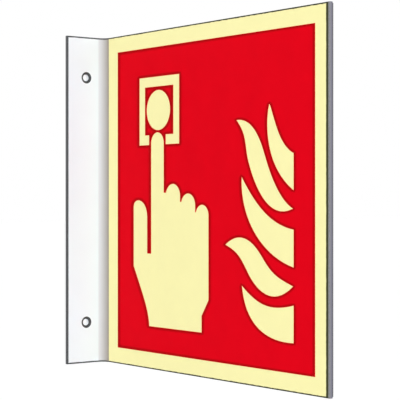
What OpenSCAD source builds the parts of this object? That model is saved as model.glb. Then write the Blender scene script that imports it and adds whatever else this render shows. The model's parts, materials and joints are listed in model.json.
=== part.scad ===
// Projecting fire alarm sign: one sheet of coated metal, folded once into a wall flange and a panel.
// The wall is the plane y = 0 and the sign stands out from it towards -Y, with +Z up.
// The origin is on the wall, midway between the two screw holes.

/* [Folded sheet] */
// Height of the sign, up the wall
sign_h = 200; // [150:10:300]
// Reach of the flat panel, from the bend to its free edge
panel_w = 200; // [150:10:300]
// Width of the wall flange, over the outside of the bend
flange_w = 30; // [28:1:45]
// Thickness of the sheet
sheet_t = 3; // [1.5:0.5:4]
// Radius on the inside of the bend
bend_r = 5; // [3:0.5:6]
// Chamfer along the cut edges, which bares the metal
edge_chamfer = 0.6; // [0.2:0.1:0.7]

/* [Screw holes] */
// Diameter of the two holes in the flange
hole_d = 4; // [3.5:0.5:6]
// Distance from each end of the flange to the centre of its hole
hole_inset = 25; // [15:1:40]
// Width of the countersink round the front mouth of a hole
countersink_w = 1.5; // [0.4:0.1:1.6]

/* [Film and print] */
// Thickness of the afterglow film on each face of the panel
film_t = 0.4; // [0.2:0.1:0.6]
// Thickness of the red ink
ink_t = 0.1; // [0.05:0.05:0.2]
// Width of the pale border round the red field
border_w = 10; // [6:1:12]

/* [Symbol] */
// Diameter of the button in the call point
button_d = 23.6; // [18:0.2:25]
// Outside size of the call point's square frame
frame_size = 40; // [36:0.5:42]
// Width of the call point's frame
frame_bar = 5.8; // [4:0.2:6.4]
// Width of the pointing finger
finger_w = 12.8; // [10:0.2:14]

/* [Hidden] */

// Places across the flange and the panel, from the hole line.
free_edge_x = -(flange_w - sheet_t) / 2;
left_face_x = free_edge_x + flange_w - sheet_t;
right_face_x = free_edge_x + flange_w;

// The bend turns about a line parallel to Z, between the flange's front and the panel's left face.
bend_axis_x = left_face_x - bend_r;
bend_axis_y = -(sheet_t + bend_r);
panel_end_y = bend_axis_y - panel_w;
hole_pitch = sign_h - 2 * hole_inset;
countersink_angle = 120;
cut_margin = 1;

// The symbol is drawn on a 200 mm square and scaled to the panel.
symbol_square = 200;
symbol_scale = min(sign_h, panel_w) / symbol_square;
round_fn = 96;
curve_steps = 20;
arc_step_deg = 5;

// Section of the sheet: thickness along x and width along y, with its chosen ends chamfered.
module sheet_section(width, low_end, high_end) {
    low = low_end ? edge_chamfer : 0;
    high = high_end ? edge_chamfer : 0;
    polygon([
        [0, low],
        [low, 0],
        [sheet_t - low, 0],
        [sheet_t, low],
        [sheet_t, width - high],
        [sheet_t - high, width],
        [high, width],
        [0, width - high]
    ]);
}

// Section up the sign, chamfered at the top and bottom edges, and centred on z = 0.
module upright_section() {
    translate([0, -sign_h / 2]) sheet_section(sign_h, true, true);
}

// A flat leg of the sheet along +x with its back face at y = 0 and its front at y = -sheet_t.
// Its far edge is chamfered.
module flat_leg(length) {
    intersection() {
        translate([0, -sheet_t, 0]) rotate([90, 0, 90])
            linear_extrude(height = length) upright_section();
        translate([0, 0, -sign_h / 2]) rotate([0, 0, -90])
            linear_extrude(height = sign_h) sheet_section(length, false, true);
    }
}

// The quarter turn between the two legs.
module bend() {
    rotate_extrude(angle = 90, $fn = round_fn)
        translate([bend_r, 0]) upright_section();
}

// The cone that countersinks the front mouth of a hole, with that face of the sheet at z = 0 and
// the metal below it. It carries on above the face, so that it cuts cleanly.
module countersink() {
    slope = tan(countersink_angle / 2);
    depth = countersink_w / slope;
    translate([0, 0, -depth])
        cylinder(
            h = depth + cut_margin,
            r1 = hole_d / 2,
            r2 = hole_d / 2 + (depth + cut_margin) * slope,
            $fn = round_fn
        );
}

// One screw hole through the flange, from the wall side at z = 0 to the front at z = sheet_t.
module screw_hole() {
    rotate([90, 0, 0]) {
        translate([0, 0, -cut_margin])
            cylinder(h = sheet_t + 2 * cut_margin, d = hole_d, $fn = round_fn);
        translate([0, 0, sheet_t]) countersink();
    }
}

module bent_sheet() {
    color([0.96, 0.96, 0.97]) difference() {
        union() {
            translate([bend_axis_x, 0, 0]) mirror([1, 0, 0]) flat_leg(flange_w - sheet_t - bend_r);
            translate([bend_axis_x, bend_axis_y, 0]) bend();
            translate([right_face_x, bend_axis_y, 0]) rotate([0, 0, -90]) flat_leg(panel_w);
        }
        for (end = [-1, 1])
            translate([0, 0, end * hole_pitch / 2]) screw_hole();
    }
}

// What lies on a face of the panel is drawn flat as a reader sees it, x to the reader's right and
// y up from the middle of the sign, and is then laid on that face.
module on_left_face() {
    translate([left_face_x, bend_axis_y, 0]) rotate([90, 0, -90]) children();
}

module on_right_face() {
    translate([right_face_x, panel_end_y, 0]) rotate([90, 0, 90]) children();
}

// The film covers the flat of one face, from the bend to the chamfer at the free edge.
module film(first_x) {
    translate([first_x, edge_chamfer - sign_h / 2])
        linear_extrude(height = film_t)
            square([panel_w - edge_chamfer, sign_h - 2 * edge_chamfer]);
}

// Points along a cubic curve from a to d, without d, which starts the next stretch.
function curve(a, b, c, d) = [
    for (i = [0:curve_steps - 1])
        let (t = i / curve_steps, u = 1 - t)
        u * u * u * a + 3 * u * u * t * b + 3 * u * t * t * c + t * t * t * d
];

// Points along a circle's arc, with both ends.
function arc(centre, r, from, to) = let (steps = ceil(abs(to - from) / arc_step_deg)) [
    for (i = [0:steps])
        let (angle = from + (to - from) * i / steps)
        centre + r * [cos(angle), sin(angle)]
];

// The hand points up with its first finger. The outline runs clockwise from the wrist.
wrist_left = [43.3, 25.4];
wrist_right = [94.6, 25.4];
heel_left = [36.3, 44.6];
heel_right = [94.6, 34.8];
palm_left = [27.1, 60.5];
palm_right = [101, 44];
thumb_side = [27.1, 95.5];
thumb_top = [32.1, 99.8];
thumb_inside = [41.3, 89.5];
thumb_web_y = 68.3;
finger_x = 51.7;
finger_y = 133.3;
// Centre and radius of the three folded fingers' knuckles, from left to right.
knuckles = [[[67.1, 102.2], 7.1], [[81.8, 96.9], 6.8], [[95, 91.3], 6]];
// A cleft comes down between two fingers and meets the next knuckle this far round its side.
cleft_angle = 17;

// The foot of the cleft on a knuckle's left, straight below the edge of the finger before it.
function cleft_foot(x, knuckle) = [x, knuckle[0][1] + knuckle[1] * sin(cleft_angle)];

// From the foot of the cleft, over one knuckle, to its right side.
function over_knuckle(x, knuckle) = concat(
    [cleft_foot(x, knuckle)],
    arc(knuckle[0], knuckle[1], 180 - cleft_angle, 0)
);

function right_side(knuckle) = knuckle[0][0] + knuckle[1];

module pointing_hand() {
    half_w = finger_w / 2;
    polygon(concat(
        [wrist_right],
        curve(wrist_left, [43.1, 32], [39, 39.6], heel_left),
        [heel_left, palm_left],
        curve(thumb_side, [27.1, 98.3], [29.2, 99.8], thumb_top),
        curve(thumb_top, [36.6, 99.8], [41.3, 96.3], thumb_inside),
        [thumb_inside, [thumb_inside[0], thumb_web_y], [finger_x - half_w, thumb_web_y]],
        arc([finger_x, finger_y], half_w, 180, 0),
        over_knuckle(finger_x + half_w, knuckles[0]),
        over_knuckle(right_side(knuckles[0]), knuckles[1]),
        over_knuckle(right_side(knuckles[1]), knuckles[2]),
        [palm_right, heel_right]
    ));
}

// The call point: a square frame, open below where the finger comes in, with the button inside.
frame_centre = [53.3, 152.5];
button_centre = [52.6, 152.8];
finger_gap = [43.3, 60];

module call_point() {
    translate(button_centre) circle(d = button_d, $fn = round_fn);
    difference() {
        translate(frame_centre) square(frame_size, center = true);
        translate(frame_centre) square(frame_size - 2 * frame_bar, center = true);
        translate([finger_gap[0], frame_centre[1] - frame_size / 2 - cut_margin])
            square([finger_gap[1] - finger_gap[0], frame_bar + 2 * cut_margin]);
    }
}

// Five flames lean in from the right. Three end at one upright line, two taper to a point there.
flame_end_x = 173.4;

top_flame = concat(
    curve([154, 151], [158.5, 142], [161.8, 128.8], [flame_end_x, 124.3]),
    [[flame_end_x, 124.3]],
    curve([flame_end_x, 105], [146.7, 119.9], [151.7, 147.6], [154, 151])
);

upper_wave = concat(
    curve([126, 143.5], [141.2, 144.7], [147.5, 129.5], [150, 124]),
    curve([150, 124], [152.3, 119], [159.8, 101], [172.9, 95.5]),
    curve([172.9, 95.5], [147.5, 86.5], [136, 121.2], [135.4, 123.4]),
    curve([135.4, 123.4], [133, 132.3], [134, 136], [126, 143.5])
);

middle_flame = concat(
    curve([130.5, 112.6], [141.4, 98.6], [153.5, 87.2], [flame_end_x, 84.6]),
    [[flame_end_x, 84.6]],
    curve([flame_end_x, 65], [145.4, 71], [128.9, 91.8], [130.5, 112.6])
);

lower_wave = concat(
    curve([116.2, 75.4], [134, 87.2], [146.2, 71.1], [150, 67.3]),
    curve([150, 67.3], [156.8, 60.5], [160.6, 59], [173, 55.2]),
    curve([173, 55.2], [151.6, 39.2], [136.6, 59.7], [135.4, 61.3]),
    curve([135.4, 61.3], [129.2, 69], [127.3, 71.8], [116.2, 75.4])
);

bottom_flame = concat(
    curve([130.7, 53.6], [143.6, 44.2], [153.8, 40.8], [flame_end_x, 45.3]),
    [[flame_end_x, 45.3]],
    curve([flame_end_x, 25.8], [157.8, 25], [134.2, 28.3], [130.7, 53.6])
);

module flames() {
    for (outline = [top_flame, upper_wave, middle_flame, lower_wave, bottom_flame])
        polygon(outline);
}

// The red field, with the symbol left open in the colour of the film.
module red_print() {
    linear_extrude(height = ink_t)
        translate([panel_w / 2, 0]) difference() {
            square([panel_w - 2 * border_w, sign_h - 2 * border_w], center = true);
            scale(symbol_scale) translate(-[symbol_square, symbol_square] / 2) {
                pointing_hand();
                call_point();
                flames();
            }
        }
}

module luminous_film_left() {
    color([0.97, 0.95, 0.72]) on_left_face() film(0);
}

module luminous_film_right() {
    color([0.97, 0.95, 0.72]) on_right_face() film(edge_chamfer);
}

module red_print_left() {
    color([0.86, 0.04, 0.09]) on_left_face() translate([0, 0, film_t]) red_print();
}

module red_print_right() {
    color([0.86, 0.04, 0.09]) on_right_face() translate([0, 0, film_t]) red_print();
}

bent_sheet();
luminous_film_left();
luminous_film_right();
red_print_left();
red_print_right();
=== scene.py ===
# %% [markdown]
# # Dressing a projecting fire alarm sign
#
# A projecting sign stands out from the wall like a flag, so that people see it from along the
# corridor. The real one is a single sheet of aluminium, folded once. The short leg is the flange
# that is screwed to the wall, and the long leg is the panel that carries the symbol on both
# faces. On each face lies a pale film that glows after the lights go out, with red ink on top.
#
# The measured model comes first and fixes every size and place. Its sizes could be typed in
# again here, but two sets of sizes drift apart, so nearly all of them are read from it.

# %% Load the measured model
import json
import math

import bmesh
import bpy
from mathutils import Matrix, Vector
from mathutils.bvhtree import BVHTree
from mathutils.geometry import delaunay_2d_cdt


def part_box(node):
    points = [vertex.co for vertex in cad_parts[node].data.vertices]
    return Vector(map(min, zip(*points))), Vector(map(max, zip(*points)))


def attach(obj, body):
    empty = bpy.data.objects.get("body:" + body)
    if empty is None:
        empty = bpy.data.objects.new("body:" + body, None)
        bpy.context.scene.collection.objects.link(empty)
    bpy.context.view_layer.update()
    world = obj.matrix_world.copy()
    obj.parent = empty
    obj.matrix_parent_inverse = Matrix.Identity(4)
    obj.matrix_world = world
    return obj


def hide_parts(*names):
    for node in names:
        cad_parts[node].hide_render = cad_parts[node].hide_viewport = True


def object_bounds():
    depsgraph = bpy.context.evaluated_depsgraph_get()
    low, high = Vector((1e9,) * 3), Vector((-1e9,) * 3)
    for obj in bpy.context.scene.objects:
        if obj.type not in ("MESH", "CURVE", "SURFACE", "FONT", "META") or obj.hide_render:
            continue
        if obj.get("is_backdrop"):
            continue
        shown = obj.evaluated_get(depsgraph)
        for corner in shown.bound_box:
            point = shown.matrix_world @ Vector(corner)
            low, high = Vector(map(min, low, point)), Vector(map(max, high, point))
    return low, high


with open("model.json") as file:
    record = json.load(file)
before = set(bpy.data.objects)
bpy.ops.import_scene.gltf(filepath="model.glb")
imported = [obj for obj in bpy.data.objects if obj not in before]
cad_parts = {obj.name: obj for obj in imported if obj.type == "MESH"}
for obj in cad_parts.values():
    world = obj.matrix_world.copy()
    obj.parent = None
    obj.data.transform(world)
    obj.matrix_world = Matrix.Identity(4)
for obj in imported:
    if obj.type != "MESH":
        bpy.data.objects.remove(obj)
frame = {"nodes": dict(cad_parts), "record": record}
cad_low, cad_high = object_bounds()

MM = 0.001
TOUCH = 0.001 * MM  # places nearer to each other than this are the same
print("nodes:", sorted(frame["nodes"]))
print("size in mm:", [round(side / MM, 2) for side in cad_high - cad_low])

# %% [markdown]
# ## The places that everything hangs on
#
# Three boxes give the whole layout. The film on the left face starts where the fold ends and
# stops at the chamfer of the cut edges, so the fold's radius and the chamfer's width both come
# from the gap between the film's box and the sheet's. Reading them this way keeps the looks
# right if the sign is made in another size.

# %% Read the layout
sheet_low, sheet_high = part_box("bent_sheet")
film_low, film_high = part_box("luminous_film_left")
print_low, print_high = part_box("red_print_left")

THICKNESS = sheet_high.x - film_high.x
OUTER_RADIUS = -film_high.y
INNER_RADIUS = OUTER_RADIUS - THICKNESS
CHAMFER = sheet_high.z - film_high.z
FOLD_AXIS_X = film_high.x - INNER_RADIUS
FOLD_AXIS_Y = film_high.y
print("sheet", round(THICKNESS / MM, 2), "mm thick, fold radius", round(INNER_RADIUS / MM, 2), "mm")
print("chamfer", round(CHAMFER / MM, 2), "mm")

# %% [markdown]
# ## The camera
#
# The sign was seen from its left and from level with its middle, so its upright edges stay
# upright and its top and bottom edges spread towards the near side. Blender could aim the camera
# with a Track To constraint, but three plain numbers say more: how far the camera turns from the
# wall's normal, how far it stands from the fold, and how far it steps aside. The lens is long,
# because the near edge is only a little taller than the far one.

# %% Place the camera
LENS_MM = 126
SENSOR_MM = 36
TURN = math.radians(37.15)
DISTANCE = 863 * MM
STEP_ASIDE = 56.2 * MM

sight = Vector((math.sin(TURN), math.cos(TURN), 0))
aside = Vector((math.cos(TURN), -math.sin(TURN), 0))
fold_line = Vector((film_low.x, film_high.y, (sheet_low.z + sheet_high.z) / 2))

camera_data = bpy.data.cameras.new("camera")
camera_data.lens = LENS_MM
camera_data.sensor_width = SENSOR_MM
camera = bpy.data.objects.new("camera", camera_data)
bpy.context.scene.collection.objects.link(camera)
camera.location = fold_line - DISTANCE * sight + STEP_ASIDE * aside
camera.rotation_euler = (math.pi / 2, 0, -TURN)
bpy.context.scene.camera = camera
print("camera stands at", [round(place, 3) for place in camera.location])

# %% [markdown]
# ## The sheet, as a flat blank
#
# In the workshop the sheet starts flat. It is sheared to size, the two screw holes are drilled
# and lightly countersunk, the edges are broken with a file, and only then is it folded. The same
# order works well in Blender. A cube with a Bevel and a Boolean would give the blank too, but
# their faces come out in an order that is hard to sort into coat, cut and chamfer. Here each
# outline is drawn as a stack of rings through the thickness, so every strip of faces is known by
# name when it is made.
#
# A place on the blank has three numbers: how far along the sheet from the flange's edge, how
# far through it from the wall side, and how far up.

# %% Sizes of the blank
FLANGE_FLAT = FOLD_AXIS_X - sheet_low.x
PANEL_FLAT = FOLD_AXIS_Y - sheet_low.y
NEUTRAL_RADIUS = (INNER_RADIUS + OUTER_RADIUS) / 2
FOLD_ANGLE = math.pi / 2
FOLD_LENGTH = NEUTRAL_RADIUS * FOLD_ANGLE
FOLD_END = FLANGE_FLAT + FOLD_LENGTH
BLANK_LENGTH = FOLD_END + PANEL_FLAT
print("blank", round(BLANK_LENGTH / MM, 1), "by", round((sheet_high.z - sheet_low.z) / MM, 1), "mm")

# %% [markdown]
# ## The finishes of the sheet
#
# White powder coat covers both faces and runs into the bores. The cut edges are bare metal,
# and so are the chamfers and the countersinks, which are mostly duller, because a file and a
# cutter leave a rougher surface. The materials could be made first and handed out by name, but
# a mesh only holds their numbers, so they are numbered now and made further down.

# %% Number the finishes of the sheet
SHEET_FINISHES = [
    "powder_coat",
    "sheared_edge",
    # The flange's outer edge takes a darker copy of the sheared metal, painted shade.
    "shaded_flange_edge",
    "filed_chamfer",
    "countersunk_hole",
]
COAT, SHEARED, SHADED_FLANGE_EDGE, FILED, COUNTERSUNK = range(len(SHEET_FINISHES))
print("finishes:", SHEET_FINISHES)

# %% Draw the outer edge of the blank
blank = bmesh.new()


def ring(places):
    """Adds one closed row of points, each given as along, through and up."""
    return [blank.verts.new(place) for place in places]


def strip(ring_a, ring_b, finish):
    """Joins two rings of the same length with a strip of faces."""
    faces = []
    for i in range(len(ring_a)):
        j = (i + 1) % len(ring_a)
        face = blank.faces.new((ring_a[i], ring_a[j], ring_b[j], ring_b[i]))
        face.material_index = finish
        faces.append(face)
    return faces


def blank_corners(through, inset):
    """The blank's four corners at one depth, drawn in by inset."""
    low, high = sheet_low.z + inset, sheet_high.z - inset
    near, far = inset, BLANK_LENGTH - inset
    corners = [(near, low), (far, low), (far, high), (near, high)]
    return ring([(along, through, up) for along, up in corners])


edge_levels = [
    blank_corners(0, CHAMFER),
    blank_corners(CHAMFER, 0),
    blank_corners(THICKNESS - CHAMFER, 0),
    blank_corners(THICKNESS, CHAMFER),
]
strip(edge_levels[0], edge_levels[1], FILED)
cut_faces = strip(edge_levels[1], edge_levels[2], SHEARED)
strip(edge_levels[2], edge_levels[3], FILED)
# The last of the cut faces is the one on the flange's outer edge.
cut_faces[-1].material_index = SHADED_FLANGE_EDGE
print("outer edge:", len(blank.faces), "faces")

# %% [markdown]
# ## The screw holes
#
# Each hole is drilled through the flange and countersunk from the front, so that a screw's head
# sits flush. Its size and spacing are those of the mount in the model's record, and only the
# countersink is repeated here.

# %% Drill the holes
COUNTERSINK_WIDTH = 1.5 * MM
COUNTERSINK_ANGLE = math.radians(120)
HOLE_SIDES = 64

mounts = {mount["name"]: mount for mount in frame["record"]["mounts"]}
hole_sizes = mounts["screw_holes"]["dims"]
HOLE_RADIUS = hole_sizes["hole_r_mm"] * MM
HOLE_PITCH = hole_sizes["spacing_y_mm"] * MM
COUNTERSINK_DEPTH = COUNTERSINK_WIDTH / math.tan(COUNTERSINK_ANGLE / 2)


def circle(through, radius, height):
    """A ring of points round one hole, whose centre is on the hole line at x = 0."""
    places = []
    for i in range(HOLE_SIDES):
        turn = math.tau * i / HOLE_SIDES
        along = -sheet_low.x + radius * math.cos(turn)
        places.append((along, through, height + radius * math.sin(turn)))
    return ring(places)


mouths = []
for height in (-HOLE_PITCH / 2, HOLE_PITCH / 2):
    levels = [
        circle(0, HOLE_RADIUS, height),
        circle(THICKNESS - COUNTERSINK_DEPTH, HOLE_RADIUS, height),
        circle(THICKNESS, HOLE_RADIUS + COUNTERSINK_WIDTH, height),
    ]
    strip(levels[0], levels[1], COAT)
    strip(levels[1], levels[2], COUNTERSUNK)
    mouths.append((levels[0], levels[-1]))
print("holes:", round(2 * HOLE_RADIUS / MM, 1), "mm wide,", round(HOLE_PITCH / MM, 1), "mm apart")

# %% [markdown]
# ## The two faces of the blank
#
# What is left open is the wall side and the front, each a rectangle with two round holes in it.
# Triangle Fill closes such an outline in one step. The triangles are long, which would spoil a
# curved surface, but these faces are flat, and the fold is cut into narrow strips afterwards.

# %% Close the two faces
WALL_SIDE, FRONT = 0, -1  # the first and the last ring of a stack


def edges_of(points):
    """The edges round one ring."""
    return [blank.edges.get((points[i - 1], points[i])) for i in range(len(points))]


for side in (WALL_SIDE, FRONT):
    rims = edges_of(edge_levels[side])
    for mouth in mouths:
        rims += edges_of(mouth[side])
    filled = bmesh.ops.triangle_fill(blank, edges=rims, use_beauty=True, use_dissolve=False)
    for piece in filled["geom"]:
        if isinstance(piece, bmesh.types.BMFace):
            piece.material_index = COAT
print("blank:", len(blank.faces), "faces")

# %% [markdown]
# ## The fold
#
# A press brake bends the sheet round its punch through a right angle. A Simple Deform modifier
# could do it, but it stretches the flat legs a little. Cutting the blank across at even steps
# and then moving each point by a formula keeps both legs exactly flat and both radii exact. A
# narrow guard strip on each side of the fold stops the smooth shading from leaking into the
# flats.

# %% Score the fold lines
FOLD_STEPS = 30
GUARD = 0.3 * MM

scores = [FLANGE_FLAT + FOLD_LENGTH * i / FOLD_STEPS for i in range(FOLD_STEPS + 1)]
scores = [FLANGE_FLAT - GUARD, *scores, FOLD_END + GUARD]
for along in scores:
    bmesh.ops.bisect_plane(
        blank,
        geom=[*blank.verts, *blank.edges, *blank.faces],
        plane_co=(along, 0, 0),
        plane_no=(1, 0, 0),
    )
print("after scoring:", len(blank.faces), "faces")


# %% Fold the blank
def folded(place):
    """Where a place on the flat blank ends up once the sheet is folded."""
    along, through, up = place
    reach = OUTER_RADIUS - through
    if along <= FLANGE_FLAT:
        return Vector((sheet_low.x + along, FOLD_AXIS_Y + reach, up))
    if along <= FOLD_END:
        turn = (along - FLANGE_FLAT) / NEUTRAL_RADIUS
        out = FOLD_AXIS_Y + reach * math.cos(turn)
        return Vector((FOLD_AXIS_X + reach * math.sin(turn), out, up))
    return Vector((FOLD_AXIS_X + reach, FOLD_AXIS_Y - (along - FOLD_END), up))


on_blank = [vert.co.copy() for vert in blank.verts]
for vert, place in zip(blank.verts, on_blank):
    vert.co = folded(place)
bmesh.ops.recalc_face_normals(blank, faces=blank.faces)
open_edges = [edge for edge in blank.edges if not edge.is_manifold]
print("open edges:", len(open_edges), "volume in mm3:", round(blank.calc_volume() / MM**3))

# %% [markdown]
# Each point of the mesh also remembers its place on the flat blank. The finishes below read it,
# so that tool marks and grain run round the fold as they do on real metal, and the piece stands
# in for the plain solid of the measured model.

# %% Make the sheet a piece of the sign
sheet_mesh = bpy.data.meshes.new("folded_sheet")
blank.to_mesh(sheet_mesh)
blank.free()

memory = sheet_mesh.attributes.new("blank_place", "FLOAT_VECTOR", "POINT")
for item, place in zip(memory.data, on_blank):
    item.vector = place

SHARP_FROM = math.radians(20)
sheet_mesh.shade_smooth()
sheet_mesh.set_sharp_from_angle(angle=SHARP_FROM)

folded_sheet = bpy.data.objects.new("folded_sheet", sheet_mesh)
bpy.context.scene.collection.objects.link(folded_sheet)
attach(folded_sheet, "root")
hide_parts("bent_sheet")
print("sheet:", len(sheet_mesh.polygons), "faces,", len(sheet_mesh.vertices), "points")

# %% [markdown]
# ## Small helpers for finishes
#
# Every finish is a tree of nodes round one Principled shader. Writing each link by hand hides
# the idea of a finish in plumbing, so a few helpers take it over. An input may be a number, a
# colour or the output of another node. Most of a Noise texture lies between 0.3 and 0.7, and
# that part is carried to the range that a finish needs. The Mix node has sockets of the same
# name for numbers, directions and colours, so the ones for colours are asked for by number.

# %% Helpers for numbers and places
NOISE_LOW = 0.3
NOISE_HIGH = 0.7


def add(tree, kind, inputs=None, **settings):
    """Adds a node, sets its settings, and sets or links its inputs."""
    made = tree.nodes.new(kind)
    for name, value in settings.items():
        setattr(made, name, value)
    for key, value in (inputs or {}).items():
        if isinstance(value, bpy.types.NodeSocket):
            tree.links.new(value, made.inputs[key])
        else:
            made.inputs[key].default_value = value
    return made


def maths(tree, operation, first, second=0.0):
    """One sum on one or two numbers."""
    return add(tree, "ShaderNodeMath", {0: first, 1: second}, operation=operation).outputs[0]


def spread(tree, value, low, high, to_low, to_high):
    """Carries a value from one range to another, and stops at the ends."""
    inputs = {
        "Value": value,
        "From Min": low,
        "From Max": high,
        "To Min": to_low,
        "To Max": to_high,
    }
    return add(tree, "ShaderNodeMapRange", inputs).outputs["Result"]


def grain(tree, where, cell, detail=2.0):
    """Soft noise from 0 to 1 whose spots are about one cell across."""
    inputs = {"Vector": where, "Scale": 1 / cell, "Detail": detail}
    return add(tree, "ShaderNodeTexNoise", inputs).outputs[0]


def varied(tree, noise, low, high):
    """Soft noise carried from the range that it mostly keeps to onto another."""
    return spread(tree, noise, NOISE_LOW, NOISE_HIGH, low, high)


def split(tree, place):
    """The three numbers of a place."""
    return add(tree, "ShaderNodeSeparateXYZ", {0: place}).outputs


print("noise is used from", NOISE_LOW, "to", NOISE_HIGH)

# %% Helpers for colours and surfaces
MIX_SHARE, MIX_COLOUR_A, MIX_COLOUR_B = 0, 6, 7
MIX_COLOUR_OUT = 2


def blend(tree, share, colour_a, colour_b, **settings):
    """The first colour where the share is 0, the second where it is 1."""
    inputs = {MIX_SHARE: share, MIX_COLOUR_A: colour_a, MIX_COLOUR_B: colour_b}
    mix = add(tree, "ShaderNodeMix", inputs, data_type="RGBA", **settings)
    return mix.outputs[MIX_COLOUR_OUT]


def shaded(tree, colour, share):
    """A colour made darker or lighter by a share, or tinted by another colour."""
    return blend(tree, 1.0, colour, share, blend_type="MULTIPLY")


def raised(tree, height, depth):
    """A bump whose full height is a real length."""
    return add(tree, "ShaderNodeBump", {"Height": height, "Distance": depth}).outputs["Normal"]


def new_finish(name):
    """An empty material with one Principled shader: the material, its tree and the shader."""
    material = bpy.data.materials.new(name)
    material.use_nodes = True
    tree = material.node_tree
    tree.nodes.clear()
    shader = add(tree, "ShaderNodeBsdfPrincipled")
    add(tree, "ShaderNodeOutputMaterial", {"Surface": shader.outputs[0]})
    return material, tree, shader


def finish_surface(tree, shader, **inputs):
    """Sets or links the shader's inputs, whose names are written with underscores."""
    for name, value in inputs.items():
        socket = shader.inputs[name.replace("_", " ")]
        if isinstance(value, bpy.types.NodeSocket):
            tree.links.new(value, socket)
        else:
            socket.default_value = value


finishes = {}
print("helpers ready")

# %% [markdown]
# ## White powder coat
#
# The sheet is sprayed with dry paint powder and baked. The paint flows into a skin with a faint
# orange peel, about a millimetre from bump to bump and a hundredth high. Round the inside of the
# fold a painted warm tint offsets the cool flange lamp, and a painted shade darkens the white
# towards the panel. Along the top and bottom edges the paint has drawn back from the sharp edge
# while it was baked, and a thin line of dark metal shows. Towards the flange's outer edge a
# painted shade makes the white a touch greyer, and towards the flange's two ends a painted shade
# makes it a touch darker and warmer, against the brighter, bluer light there. A painted texture
# could hold all this, but each depends only on the way along the blank, through it and up it, and
# the mesh remembers those.

# %% Sizes and colours of the coat
COAT_COLOUR = (0.885, 0.91, 0.945, 1)
COAT_ROUGHNESS = (0.40, 0.48)
COAT_GLOSS = 0.35
PEEL_CELL = 1.1 * MM
PEEL_HEIGHT = 0.012 * MM
CLOUD_CELL = 18 * MM
CLOUD_SHADES = (0.985, 1.0)
# Painted warm tint and painted shade round the inside of the fold.
FOLD_TINT_COLOUR = (0.885, 0.846, 0.898, 1)
FOLD_TINT_RISE = 1 * MM
FOLD_SHADE_COLOUR = (0.305, 0.255, 0.20, 1)
FOLD_SHADE_RISE = 0.6
BARE_COLOUR = (0.05, 0.05, 0.052, 1)
BARE_WIDTH = 0.35 * MM
BARE_WAVER = 0.1 * MM
BARE_CELL = 4 * MM
# Painted shade: greyer towards the flange's outer edge, darker and warmer towards its two ends.
UNSHADED = (1, 1, 1, 1)
END_SHADE_COLOUR = (0.965, 0.91, 0.88, 1)
END_SHADE_REACH = 28 * MM
OUTER_SHADE_COLOUR = (0.955, 0.965, 0.975, 1)
OUTER_SHADE_REACH = 18 * MM
print("orange peel:", round(PEEL_CELL / MM, 1), "mm from bump to bump")


# %% Helpers that find the fold and the edges
def blank_place(tree):
    """The place on the flat blank as a vector, and its three numbers: along, through and up."""
    place = add(tree, "ShaderNodeAttribute", attribute_name="blank_place").outputs["Vector"]
    return place, *split(tree, place)


def way_round_fold(tree, along):
    """0 on the flange, 1 on the panel, and in between round the fold."""
    return spread(tree, along, FLANGE_FLAT, FOLD_END, 0.0, 1.0)


def gap_to_ends(tree, value, low, high):
    """How far a value lies inside a range, from the nearer of its two ends."""
    offset = maths(tree, "ABSOLUTE", maths(tree, "SUBTRACT", value, (low + high) / 2))
    return maths(tree, "SUBTRACT", (high - low) / 2, offset)


def thin_line(tree, gap, place, width, waver, cell):
    """1 within a line along an edge whose width wavers, and 0 further in."""
    wave = varied(tree, grain(tree, place, cell), -waver, waver)
    past_line = maths(tree, "SUBTRACT", maths(tree, "ADD", gap, wave), width)
    return spread(tree, past_line, -waver / 2, waver / 2, 1.0, 0.0)


print("the fold runs from", round(FLANGE_FLAT / MM, 1), "to", round(FOLD_END / MM, 1), "mm")


# %% Powder coat
def new_coat(tree, along, through):
    """White, with a painted warm tint and a painted shade round the inside of the fold."""
    front_side = spread(tree, through, THICKNESS / 2, THICKNESS, 0.0, 1.0)
    # Painted warm tint round the inside of the fold, against the cool flange lamp.
    in_fold = spread(tree, along, FLANGE_FLAT, FLANGE_FLAT + FOLD_TINT_RISE, 0.0, 1.0)
    fold_tint = maths(tree, "MULTIPLY", in_fold, front_side)
    # Painted shade: the white darkens round the inside of the fold towards the panel.
    fold_shade_ramp = maths(tree, "POWER", way_round_fold(tree, along), FOLD_SHADE_RISE)
    fold_shade = maths(tree, "MULTIPLY", fold_shade_ramp, front_side)
    return blend(tree, fold_shade, blend(tree, fold_tint, COAT_COLOUR, FOLD_TINT_COLOUR), FOLD_SHADE_COLOUR)


def coat_with_painted_shade(tree, colour, along, to_ends):
    """The coat with painted shade: greyer by the flange's edge, darker and warmer by its ends."""
    # Painted shade, greyer towards the flange's outer edge.
    outer_shade = blend(tree, spread(tree, along, 0.0, OUTER_SHADE_REACH, 1.0, 0.0), UNSHADED, OUTER_SHADE_COLOUR)
    # Painted shade, darker and warmer towards the flange's two ends, against the brighter, bluer
    # light there.
    near_end = spread(tree, to_ends, 0.0, END_SHADE_REACH, 1.0, 0.0)
    on_flange = maths(tree, "SUBTRACT", 1.0, way_round_fold(tree, along))
    end_shade = blend(tree, maths(tree, "MULTIPLY", near_end, on_flange), UNSHADED, END_SHADE_COLOUR)
    return shaded(tree, shaded(tree, colour, outer_shade), end_shade)


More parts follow.
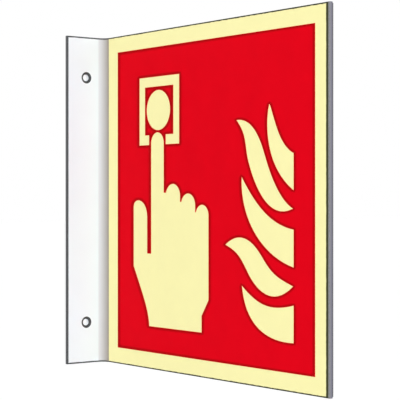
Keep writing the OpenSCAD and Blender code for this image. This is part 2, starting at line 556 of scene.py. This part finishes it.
def powder_coat():
    material, tree, shader = new_finish("powder_coat")
    place, along, through, up = blank_place(tree)
    to_ends = gap_to_ends(tree, up, sheet_low.z, sheet_high.z)
    # The coat with its painted tint and painted shades.
    used = coat_with_painted_shade(tree, new_coat(tree, along, through), along, to_ends)
    to_coat_edge = maths(tree, "SUBTRACT", to_ends, CHAMFER)
    bare = thin_line(tree, to_coat_edge, place, BARE_WIDTH, BARE_WAVER, BARE_CELL)
    clouds = varied(tree, grain(tree, place, CLOUD_CELL), *CLOUD_SHADES)
    peel = grain(tree, place, PEEL_CELL)
    finish_surface(
        tree,
        shader,
        Base_Color=shaded(tree, blend(tree, bare, used, BARE_COLOUR), clouds),
        Roughness=varied(tree, peel, *COAT_ROUGHNESS),
        Specular_IOR_Level=COAT_GLOSS,
        Normal=raised(tree, peel, PEEL_HEIGHT),
    )
    return material


finishes["powder_coat"] = powder_coat()
print("made", finishes["powder_coat"].name)

# %% [markdown]
# ## Bare cut edges
#
# A guillotine leaves two bands on a sheared edge. The blade polishes the first part of the
# thickness, and the rest breaks off, rougher and a little bluer. Fine scratches run straight
# through the thickness. Scratches could be drawn one by one, but stretched noise makes them
# all: it changes quickly along the edge and not at all through it. The flange's outer edge is the
# same metal in one darker colour, which is painted shade.

# %% Sizes and colours of the cut edges
POLISHED_COLOUR = (0.222, 0.203, 0.225, 1)
BROKEN_COLOUR = (0.168, 0.149, 0.188, 1)
# The flange's outer edge: the sheared metal made darker, painted shade.
SHADED_EDGE_COLOUR = (0.088, 0.088, 0.092, 1)
EDGE_METALLIC = 0.6
EDGE_ROUGHNESS = (0.42, 0.58)
SCRATCH_STRETCH = (1, 0, 1)
SCRATCH_CELL = 0.5 * MM
SCRATCH_DETAIL = 4.0
SCRATCH_HEIGHT = 0.01 * MM
SCRATCH_SHADES = (0.93, 1.07)
POLISHED_PART = 0.52
BAND_WAVER = 0.12
BAND_BLUR = 0.04
print("polished band:", round(POLISHED_PART * THICKNESS / MM, 1), "mm wide")


# %% Sheared and sawn edges
def stretched(tree, place, factors):
    """A place whose three numbers are scaled, which draws noise out along the small ones."""
    inputs = {0: place, 1: factors}
    return add(tree, "ShaderNodeVectorMath", inputs, operation="MULTIPLY").outputs[0]


def bare_metal(name, polished, broken):
    """Metal with a polished band by the front and a broken one behind it."""
    material, tree, shader = new_finish(name)
    place, _, through, _ = blank_place(tree)
    marks = grain(tree, stretched(tree, place, SCRATCH_STRETCH), SCRATCH_CELL, SCRATCH_DETAIL)
    depth = maths(tree, "DIVIDE", through, THICKNESS)
    waver = varied(tree, marks, -BAND_WAVER / 2, BAND_WAVER / 2)
    from_front = maths(tree, "SUBTRACT", maths(tree, "ADD", 1.0, waver), depth)
    band = spread(tree, from_front, POLISHED_PART - BAND_BLUR, POLISHED_PART + BAND_BLUR, 0.0, 1.0)
    colour = blend(tree, band, polished, broken)
    finish_surface(
        tree,
        shader,
        Base_Color=shaded(tree, colour, varied(tree, marks, *SCRATCH_SHADES)),
        Metallic=EDGE_METALLIC,
        Roughness=spread(tree, band, 0.0, 1.0, *EDGE_ROUGHNESS),
        Normal=raised(tree, marks, SCRATCH_HEIGHT),
    )
    return material


finishes["sheared_edge"] = bare_metal("sheared_edge", POLISHED_COLOUR, BROKEN_COLOUR)
# A darker copy of the sheared edge, painted shade on the flange's outer edge.
finishes["shaded_flange_edge"] = bare_metal("shaded_flange_edge", SHADED_EDGE_COLOUR, SHADED_EDGE_COLOUR)
print("made", [finishes[name].name for name in ("sheared_edge", "shaded_flange_edge")])

# %% [markdown]
# ## Filed chamfers and countersinks
#
# A few strokes of a file break every cut edge, so the white ends in a thin dark line. The line is
# dull metal. Beside the film it is darker and olive, where the film's glue was squeezed out and
# took up dust. The panel's free edge stands out into the corridor and is brushed against, so its
# chamfers are rubbed as bright as the metal between them. The countersinks have rings from the
# cutter, which are noise stretched the other way: quick through the thickness and slow round it.

# %% Sizes and colours of the worked metal
FILED_COLOUR = (0.085, 0.085, 0.087, 1)
GLUE_COLOUR = (0.030, 0.032, 0.016, 1)
RUBBED_COLOUR = (0.235, 0.215, 0.218, 1)
CUTTER_COLOUR = (0.078, 0.078, 0.080, 1)
WORKED_METALLIC = 0.15
WORKED_GLOSS = 0.05
WORKED_ROUGHNESS = (0.6, 0.75)
WORKED_SHADES = (0.8, 1.2)
FILE_STRETCH = (0.3, 1, 0.3)
CUTTER_STRETCH = (0.1, 2, 0.1)
MARK_CELL = 0.35 * MM
MARK_DETAIL = 3.0
MARK_HEIGHT = 0.01 * MM
print("file and cutter marks:", round(MARK_HEIGHT / MM, 2), "mm deep")


# %% Filed metal and countersinks
def worked_metal(name, by_flange, by_film, stretch):
    """Metal with tool marks, dull apart from the rubbed free edge."""
    material, tree, shader = new_finish(name)
    place, along, _, _ = blank_place(tree)
    marks = grain(tree, stretched(tree, place, stretch), MARK_CELL, MARK_DETAIL)
    dull = blend(tree, way_round_fold(tree, along), by_flange, by_film)
    rubbed = maths(tree, "GREATER_THAN", along, BLANK_LENGTH - CHAMFER - TOUCH)
    colour = blend(tree, rubbed, dull, RUBBED_COLOUR)
    finish_surface(
        tree,
        shader,
        Base_Color=shaded(tree, colour, varied(tree, marks, *WORKED_SHADES)),
        Metallic=WORKED_METALLIC,
        Roughness=varied(tree, marks, *WORKED_ROUGHNESS),
        Specular_IOR_Level=WORKED_GLOSS,
        Normal=raised(tree, marks, MARK_HEIGHT),
    )
    return material


for name, by_flange, by_film, stretch in (
    ("filed_chamfer", FILED_COLOUR, GLUE_COLOUR, FILE_STRETCH),
    ("countersunk_hole", CUTTER_COLOUR, CUTTER_COLOUR, CUTTER_STRETCH),
):
    finishes[name] = worked_metal(name, by_flange, by_film, stretch)

for name in SHEET_FINISHES:
    folded_sheet.data.materials.append(finishes[name])
print("sheet finishes:", [slot.material.name for slot in folded_sheet.material_slots])

# %% [markdown]
# ## The afterglow film
#
# The film is a plastic sheet full of coarse crystals that store light. By day it is a pale,
# slightly green yellow, quite matt, with the crystals just visible as a fine grain and with soft
# clouds where the pigment is denser. The film keeps its measured solid, because a flat sheet needs
# no other shape, and only takes a better material. Two sizes of noise make the grain and the
# clouds. The glue on its cut edges has taken up dust, which leaves a thin dark line along the
# top and the bottom and a wider one along the free edge, which is touched the most. The distance
# to those three edges draws it.

# %% Sizes and colours of the film
FILM_COLOUR = (0.965, 0.890, 0.426, 1)
FILM_ROUGHNESS = (0.5, 0.6)
FILM_GLOSS = 0.2
CRYSTAL_CELL = 0.45 * MM
CRYSTAL_HEIGHT = 0.006 * MM
CRYSTAL_SHADES = (0.975, 1.01)
PIGMENT_CELL = 9 * MM
PIGMENT_SHADES = (0.982, 1.0)
DUSTY_GLUE_COLOUR = (0.033, 0.034, 0.008, 1)
DUST_WIDTH = 0.35 * MM
FREE_EDGE_DUST_WIDTH = 1.2 * MM
DUST_WAVER = 0.1 * MM
DUST_CELL = 3 * MM
print("crystals:", round(CRYSTAL_CELL / MM, 2), "mm across")


# %% Afterglow film
def own_place(tree):
    """The place in the sign's own frame."""
    return add(tree, "ShaderNodeTexCoord").outputs["Object"]


def dusty_line(tree, place):
    """1 on the film's cut edges and in a narrow line beside them, but not at the fold."""
    _, out, up = split(tree, place)
    lines = []
    for to_edge, width in (
        (gap_to_ends(tree, up, film_low.z, film_high.z), DUST_WIDTH),
        (maths(tree, "SUBTRACT", out, film_low.y), FREE_EDGE_DUST_WIDTH),
    ):
        lines.append(thin_line(tree, to_edge, place, width, DUST_WAVER, DUST_CELL))
    return maths(tree, "MAXIMUM", *lines)


def afterglow_film():
    material, tree, shader = new_finish("afterglow_film")
    place = own_place(tree)
    crystals = grain(tree, place, CRYSTAL_CELL)
    clouds = varied(tree, grain(tree, place, PIGMENT_CELL), *PIGMENT_SHADES)
    specks = varied(tree, crystals, *CRYSTAL_SHADES)
    colour = blend(tree, dusty_line(tree, place), FILM_COLOUR, DUSTY_GLUE_COLOUR)
    finish_surface(
        tree,
        shader,
        Base_Color=shaded(tree, colour, maths(tree, "MULTIPLY", clouds, specks)),
        Roughness=varied(tree, crystals, *FILM_ROUGHNESS),
        Specular_IOR_Level=FILM_GLOSS,
        Normal=raised(tree, crystals, CRYSTAL_HEIGHT),
    )
    return material


finishes["afterglow_film"] = afterglow_film()
print("made", finishes["afterglow_film"].name)

# %% [markdown]
# ## The red ink
#
# Signal red is pressed through a fine mesh onto the film, and the symbol is left open. The ink
# dries semi-matt and keeps the weave of the mesh as a barely visible pattern of squares. Along
# every edge of the stencil a little more ink gathers and the red is deeper, in a rim of a
# millimetre or two that thins out again at the very edge. The squeegee's stroke starts at the
# fold with the most ink, so the rim narrows towards the free edge. Two Wave textures at right
# angles make the weave. At scale 1 such a texture turns through 20 radians to the metre, so the
# scale is worked out from the pitch of the mesh. The rim is harder, because a material can't
# tell how far it is from the edge of a shape as free as a hand. Each point of the print's mesh
# will hold that distance, and the finish reads it by its name, from_edge.

# %% Sizes and colours of the ink
INK_COLOUR = (0.745, 0.0006, 0.0085, 1)
INK_ROUGHNESS = (0.42, 0.52)
INK_GLOSS = 0.01
RIM_COLOUR = (0.40, 0.0015, 0.003, 1)
MESH_PITCH = 0.6 * MM
MESH_HEIGHT = 0.006 * MM
WAVE_TURN = 20
INK_CLOUD_CELL = 14 * MM
INK_CLOUD_SHADES = (0.975, 1.02)
RIM_RISE = 0.4 * MM
RIM_WIDTH = 0.75 * MM
RIM_FADE = 1.2 * MM
RIM_AT_FOLD = 1.15
RIM_AT_FREE_EDGE = 0.8
print("weave:", round(MESH_PITCH / MM, 1), "mm from thread to thread")


# %% Red ink
def mesh_weave(tree, place):
    """Small raised squares in rows, from 0 to 1."""
    rows = []
    for axis in ("Y", "Z"):
        inputs = {"Vector": place, "Scale": math.tau / (WAVE_TURN * MESH_PITCH)}
        wave = add(tree, "ShaderNodeTexWave", inputs, bands_direction=axis)
        rows.append(wave.outputs["Fac"])
    return maths(tree, "MULTIPLY", *rows)


def deeper_rim(tree, place):
    """1 in the rim along every edge of the ink, and 0 at the very edge and further in."""
    from_edge = add(tree, "ShaderNodeAttribute", attribute_name="from_edge").outputs["Fac"]
    _, out, _ = split(tree, place)
    breadth = spread(tree, out, print_low.y, print_high.y, RIM_AT_FREE_EDGE, RIM_AT_FOLD)
    gap = maths(tree, "DIVIDE", from_edge, breadth)
    rise = spread(tree, gap, 0.0, RIM_RISE, 0.0, 1.0)
    fall = spread(tree, gap, RIM_WIDTH, RIM_WIDTH + RIM_FADE, 1.0, 0.0)
    return maths(tree, "MULTIPLY", rise, fall)


def red_ink():
    material, tree, shader = new_finish("red_ink")
    place = own_place(tree)
    clouds = varied(tree, grain(tree, place, INK_CLOUD_CELL), *INK_CLOUD_SHADES)
    colour = blend(tree, deeper_rim(tree, place), INK_COLOUR, RIM_COLOUR)
    weave = mesh_weave(tree, place)
    finish_surface(
        tree,
        shader,
        Base_Color=shaded(tree, colour, clouds),
        Roughness=spread(tree, weave, 0.0, 1.0, *INK_ROUGHNESS),
        Specular_IOR_Level=INK_GLOSS,
        Normal=raised(tree, weave, MESH_HEIGHT),
    )
    return material


finishes["red_ink"] = red_ink()
print("made", finishes["red_ink"].name)

# %% [markdown]
# ## The outline of the print
#
# The measured print is a thin flat solid, so its outline runs wherever its outer side ends. Each
# edge of it is kept as two points, with the way that leads from it into the ink. The squeegee
# draws the ink out along its stroke, which widens the rim at the edges that lie across it. To
# allow for that, all distances are measured on a plane that is squeezed along the stroke.

# %% Read the outline
STROKE_STRETCH = 1.6


def squeezed(place):
    """A place on the print, seen on the squeezed plane."""
    return Vector((place.y / STROKE_STRETCH, place.z)).freeze()


def outline_of(solid, outer_x):
    """The edges round the print's outer side, each as its start, its end and the way inward."""
    mesh = bmesh.new()
    mesh.from_mesh(solid.data)
    bmesh.ops.remove_doubles(mesh, verts=mesh.verts, dist=TOUCH)
    outer = {face for face in mesh.faces if abs(face.calc_center_median().x - outer_x) < TOUCH}
    edges = []
    for edge in mesh.edges:
        inked = [face for face in edge.link_faces if face in outer]
        if len(inked) == 1:
            start, end = (squeezed(vert.co) for vert in edge.verts)
            inward = (end - start).orthogonal().normalized()
            if inward.dot(squeezed(inked[0].calc_center_median()) - start) < 0:
                inward.negate()
            edges.append((start, end, inward))
    mesh.free()
    return edges


OUTER_X = {"left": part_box("red_print_left")[0].x, "right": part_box("red_print_right")[1].x}
outlines = {}
for side, outer_x in OUTER_X.items():
    outlines[side] = outline_of(frame["nodes"][f"red_print_{side}"], outer_x)
    print(side, "print:", len(outlines[side]), "edges")

# %% [markdown]
# ## Rows of points beside the edges
#
# Six rows of points run beside every edge, at even distances into the ink. A point is dropped
# where another edge is nearer than its own, as in the narrow gap between thumb and finger. The
# rows are close together, so that the red still turns lighter in the middle of the gaps between
# the flames. A fine grid all over the print would do as well, but with many more points. Each
# edge is stood up as a tall wall, because Blender quickly finds the face nearest to a point.

# %% Set out the rows
ROW_GAP = 0.4 * MM
ROW_COUNT = 6
ROW_SPACING = 1.5 * MM
WALL_HEIGHT = 1.0
OWN_EDGE_SHARE = 0.98


def walls_on(edges):
    """A search tree of tall walls that stand on the edges."""
    corners = []
    walls = []
    for start, end, _ in edges:
        first = len(corners)
        corners += [(-WALL_HEIGHT, *start), (WALL_HEIGHT, *start)]
        corners += [(WALL_HEIGHT, *end), (-WALL_HEIGHT, *end)]
        walls.append(range(first, len(corners)))
    return BVHTree.FromPolygons(corners, walls)


def distance_to(tree, point):
    """How far a point on the squeezed plane is from the nearest wall."""
    *_, distance = tree.find_nearest((0, *point))
    return distance


def starts_of_rows(edges):
    """Places along the outline and at its corners, each with the way into the ink."""
    places = []
    at_corner = {}
    for start, end, inward in edges:
        count = math.ceil((end - start).length / ROW_SPACING)
        for i in range(count):
            places.append((start.lerp(end, (i + 0.5) / count), inward))
        for corner in (start, end):
            at_corner[corner] = at_corner.get(corner, Vector((0, 0))) + inward
    for corner, inward in at_corner.items():
        places.append((corner, inward.normalized()))
    return places


def rows_beside(edges, tree):
    """The points of all rows that have no other edge nearer than their own."""
    points = []
    for place, inward in starts_of_rows(edges):
        for i in range(ROW_COUNT):
            gap = (i + 1) * ROW_GAP
            point = place + gap * inward
            if distance_to(tree, point) > OWN_EDGE_SHARE * gap:
                points.append(point)
    return points


edge_trees = {side: walls_on(edges) for side, edges in outlines.items()}
rows = {side: rows_beside(outlines[side], edge_trees[side]) for side in outlines}
print("points in the rows:", {side: len(points) for side, points in rows.items()})

# %% [markdown]
# ## The print as a piece
#
# A Delaunay triangulation joins the outline and the rows into triangles and keeps every edge of
# the outline. It fills the symbol too. To open it again, ink is poured onto the triangle whose
# corners lie furthest from the edges, which has to be one with ink, because only the inked side
# has rows. It spreads to its neighbours until the outline stops it, and the dry triangles are
# taken out. Extruding the flat layer by the thickness of the ink gives it its walls and its
# underside. The form is the measured one, and only the triangles are others.

# %% Join the points into a flat layer
WHOLE_HULL = 0  # keeps the triangles outside the outline too


def flat_layer(side):
    """The filled outline as a flat mesh, and those of its edges that lie on the outline."""
    edges = outlines[side]
    corners = list(dict.fromkeys(corner for start, end, _ in edges for corner in (start, end)))
    number = {corner: i for i, corner in enumerate(corners)}
    links = [(number[start], number[end]) for start, end, _ in edges]
    joined = delaunay_2d_cdt(corners + rows[side], links, [], WHOLE_HULL, TOUCH)
    points, pairs, triangles, _, sources, _ = joined
    layer = bmesh.new()
    from_edge = layer.verts.layers.float.new("from_edge")
    for out, up in points:
        vert = layer.verts.new((OUTER_X[side], out * STROKE_STRETCH, up))
        vert[from_edge] = distance_to(edge_trees[side], (out, up))
    layer.verts.ensure_lookup_table()
    for triangle in triangles:
        layer.faces.new([layer.verts[i] for i in triangle])
    on_outline = [pair for pair, source in zip(pairs, sources) if source]
    return layer, {layer.edges.get([layer.verts[i] for i in pair]) for pair in on_outline}


flat_layers = {side: flat_layer(side) for side in outlines}
for side, (layer, outline) in flat_layers.items():
    print(side, "layer:", len(layer.faces), "triangles,", len(outline), "edges on the outline")


# %% Let the ink spread
def open_symbol(layer, outline):
    """Takes out the triangles that ink, spreading up to the outline, doesn't reach."""
    from_edge = layer.verts.layers.float["from_edge"]
    first = max(layer.faces, key=lambda face: sum(vert[from_edge] for vert in face.verts))
    inked = {first}
    spreading = [first]
    while spreading:
        for edge in set(spreading.pop().edges) - outline:
            for face in set(edge.link_faces) - inked:
                inked.add(face)
                spreading.append(face)
    dry = [face for face in layer.faces if face not in inked]
    bmesh.ops.delete(layer, geom=dry, context="FACES")


for side, (layer, outline) in flat_layers.items():
    open_symbol(layer, outline)
    print(side, "layer:", len(layer.faces), "triangles hold ink")


# %% Build the two prints
def thicken(layer, side):
    """Gives a flat layer the thickness of the ink, down to the film."""
    low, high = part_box(f"red_print_{side}")
    to_film = low.x + high.x - 2 * OUTER_X[side]
    made = bmesh.ops.extrude_face_region(layer, geom=layer.faces[:], use_keep_orig=True)["geom"]
    under = [item for item in made if isinstance(item, bmesh.types.BMVert)]
    bmesh.ops.translate(layer, verts=under, vec=(to_film, 0, 0))
    bmesh.ops.recalc_face_normals(layer, faces=layer.faces)
    print("open edges:", sum(not edge.is_manifold for edge in layer.edges), end=", ")
    print("ink in mm3:", round(layer.calc_volume() / MM**3, 1))


for side, (layer, _) in flat_layers.items():
    thicken(layer, side)
    mesh = bpy.data.meshes.new(f"ink_layer_{side}")
    layer.to_mesh(mesh)
    layer.free()
    ink_layer = bpy.data.objects.new(f"ink_layer_{side}", mesh)
    bpy.context.scene.collection.objects.link(ink_layer)
    ink_layer.data.materials.append(finishes["red_ink"])
    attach(ink_layer, "root")
    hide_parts(f"red_print_{side}")
    print(ink_layer.name, "has", len(ink_layer.data.polygons), "faces")

# %% [markdown]
# ## Dress the films
#
# The films stay the solids of the measured model. Only the material in their slots changes.

# %% Dress the films
for side in ("left", "right"):
    film = frame["nodes"][f"luminous_film_{side}"]
    film.data.materials.clear()
    film.data.materials.append(finishes["afterglow_film"])
    print(film.name, "wears", finishes["afterglow_film"].name)

# %% [markdown]
# ## Floor and background
#
# The sign hangs in the air, so the floor lies well below it. It is pale and takes the sign's
# soft shadow. The picture's background is plain white. Brighter lamps would burn the floor out
# to white and the sign with it, so the world is white only for rays that come from the camera,
# from a gloss or through glass, and lights everything else at its own plain level. For the same
# rays the floor glows a little, so that it looks as white as the world behind it.

# %% Lay the floor
FLOOR_DROP = 0.45
FLOOR_SIDE = 60
FLOOR_COLOUR = (0.86, 0.86, 0.86, 1)

floor_mesh = bpy.data.meshes.new("floor")
half = FLOOR_SIDE / 2
corners = [(-half, -half, 0), (half, -half, 0), (half, half, 0), (-half, half, 0)]
floor_mesh.from_pydata(corners, [], [(0, 1, 2, 3)])
floor = bpy.data.objects.new("floor", floor_mesh)
bpy.context.scene.collection.objects.link(floor)
floor.location.z = sheet_low.z - FLOOR_DROP
floor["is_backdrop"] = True
print("floor at", round(floor.location.z, 3))

# %% Colour the floor
PLAIN_WHITE = (1, 1, 1, 1)
FLOOR_GRAIN = 0.02
FLOOR_SHADES = (0.985, 1.0)
FLOOR_ROUGHNESS = 0.8
FLOOR_GLOW = 0.36


def seen_directly(tree):
    """1 for a ray from the camera, a gloss or glass, and 0 for one that only carries light."""
    path = add(tree, "ShaderNodeLightPath")
    seen = path.outputs["Is Camera Ray"]
    for name in ("Is Glossy Ray", "Is Transmission Ray"):
        seen = maths(tree, "MAXIMUM", seen, path.outputs[name])
    return seen


def pale_floor():
    material, tree, shader = new_finish("pale_floor")
    tone = varied(tree, grain(tree, own_place(tree), FLOOR_GRAIN), *FLOOR_SHADES)
    finish_surface(
        tree,
        shader,
        Base_Color=shaded(tree, FLOOR_COLOUR, tone),
        Roughness=FLOOR_ROUGHNESS,
        Emission_Color=PLAIN_WHITE,
        Emission_Strength=maths(tree, "MULTIPLY", seen_directly(tree), FLOOR_GLOW),
    )
    return material


floor_mesh.materials.append(pale_floor())
print("floor is dressed")

# %% Light the world
WORLD_LIGHT = 0.71

world = bpy.data.worlds.new("studio")
bpy.context.scene.world = world
world.use_nodes = True
sky = world.node_tree
sky.nodes.clear()
level = spread(sky, seen_directly(sky), 0.0, 1.0, WORLD_LIGHT, 1.0)
background = add(sky, "ShaderNodeBackground", {"Color": PLAIN_WHITE, "Strength": level})
add(sky, "ShaderNodeOutputWorld", {"Surface": background.outputs[0]})
print("world lights at", WORLD_LIGHT)

# %% [markdown]
# ## Lamps
#
# Four soft lamps give the folded sheet a little form. The main one stands to the left and
# lights the panel. The red panel throws a warm light on the white flange beside it, so the
# flange has a cool lamp of its own, straight in front of the wall, where it hardly touches the
# panel. The third lamp fills the far side, and the fourth the side that faces the wall.

# %% Hang the lamps
WHITE = (1, 1, 1)
COOL = (0.53, 0.85, 1)
LAMPS = {
    "panel_lamp": {"place": (-1.5, -0.9, 0.9), "side": 1.2, "power": 11.2, "colour": WHITE},
    "flange_lamp": {"place": (-0.2, -1.9, 0.35), "side": 0.5, "power": 12.2, "colour": COOL},
    "fill_lamp": {"place": (1.5, -0.5, 0.7), "side": 1.2, "power": 9, "colour": WHITE},
    "wall_lamp": {"place": (0, 2.0, 0.6), "side": 1.2, "power": 9, "colour": WHITE},
}
target = (cad_low + cad_high) / 2

for name, lamp in LAMPS.items():
    data = bpy.data.lights.new(name, "AREA")
    data.size = lamp["side"]
    data.energy = lamp["power"]
    data.color = lamp["colour"]
    holder = bpy.data.objects.new(name, data)
    bpy.context.scene.collection.objects.link(holder)
    holder.location = lamp["place"]
    holder.rotation_euler = (target - holder.location).to_track_quat("-Z", "Y").to_euler()
    print(name, "at", lamp["place"])

# %% [markdown]
# ## Colours as written
#
# The Standard view shows a lit colour as it is written, with no film curve over it.

# %% View the colours plainly
bpy.context.scene.view_settings.view_transform = "Standard"
print("view:", bpy.context.scene.view_settings.view_transform)

# %% [markdown]
# ## Compare the sizes
#
# The dressed sign has to fill the same box as the measured one. The largest gap between the two
# boxes is printed.

# %% Compare the two boxes
dressed_low, dressed_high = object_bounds()
gaps = [*(dressed_low - cad_low), *(dressed_high - cad_high)]
print("box differs by", round(max(map(abs, gaps)) / MM, 4), "mm")
